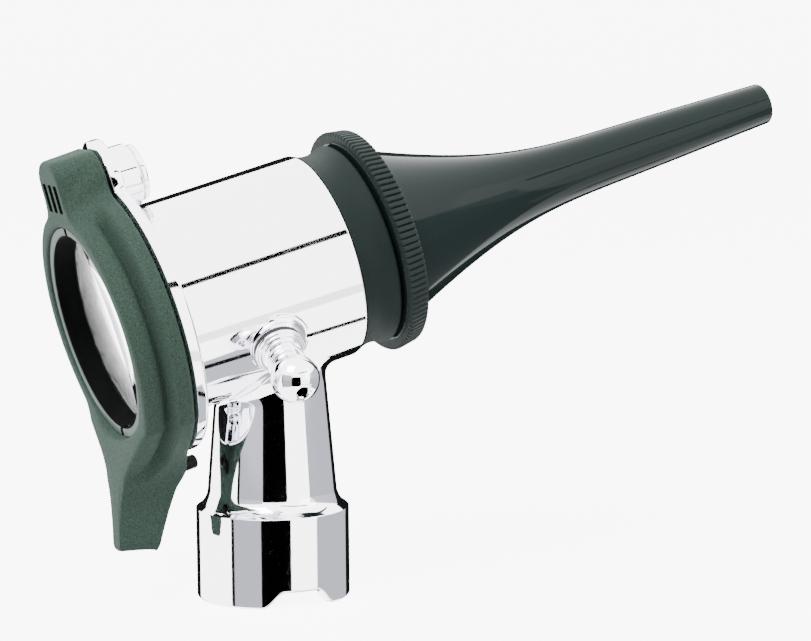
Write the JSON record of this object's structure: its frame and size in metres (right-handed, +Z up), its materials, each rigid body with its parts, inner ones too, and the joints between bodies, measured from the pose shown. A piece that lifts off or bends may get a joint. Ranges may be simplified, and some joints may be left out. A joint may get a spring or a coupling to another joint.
{
  "type": "otoscope head",
  "caption": "Pneumatic otoscope head: chromed barrel on a neck with a bayonet collar, a swing-aside magnifying lens, an insufflator port and a reusable ear speculum.",
  "frame": {"origin": "centre of the collar's mouth, where the head sits on its handle", "axes": "+Z up the neck, +X towards the speculum's tip, -Y the side of the insufflator port"},
  "size_m": [0.0975, 0.0363, 0.0605],
  "materials": {
    "chrome": "polished plating",
    "frame_plastic": "fine sand texture",
    "nose_plastic": "matt",
    "speculum_plastic": "glossy",
    "lens_glass": "polished",
    "black_aluminium": "black anodised",
    "black_plastic": "matt",
    "brass": "turned",
    "steel": "bright",
    "dark_steel": "blackened",
    "rubber": "matt",
    "glass_fibre": "polished ends",
    "bulb_glass": "clear",
    "ceramic": "unglazed",
    "tungsten": "drawn wire"
  },
  "bodies": {
    "head": {"head_body": "chrome", "port_nozzle": "chrome", "nose_adapter": "nose_plastic", "outer_cone": "black_plastic", "viewing_cone": "black_plastic", "bundle_ferrule": "brass", "lamp_sleeve": "brass", "lamp_contact": "brass", "lamp_base": "steel", "bayonet_ring": "steel", "flange_gasket": "rubber", "speculum_seal": "rubber", "port_gasket": "rubber", "fiber_fan": "glass_fibre", "fiber_bundle": "glass_fibre", "lamp_bulb": "bulb_glass", "lamp_insulator": "ceramic", "lamp_cement": "ceramic", "lamp_filament": "tungsten"},
    "lens_carrier": {"lens_frame": "frame_plastic", "lens": "lens_glass", "lens_gasket": "rubber", "lens_retainer": "black_aluminium", "pivot_insert": "brass", "pivot_screw": "chrome", "pivot_washer": "steel", "catch_pin": "dark_steel"},
    "speculum": {"speculum": "speculum_plastic"}
  },
  "joints": [
    {"name": "lens_swing", "type": "hinge", "parent": "head", "child": "lens_carrier", "pos_m": [-0.02123, 0, 0.0511], "axis": [0.9659, 0, 0.2588], "range_deg": [-90, 90]},
    {"name": "speculum_twist", "type": "hinge", "parent": "head", "child": "speculum", "pos_m": [0.01294, 0, 0.04297], "axis": [0.9659, 0, 0.2588], "range_deg": [0, 35]}
  ]
}
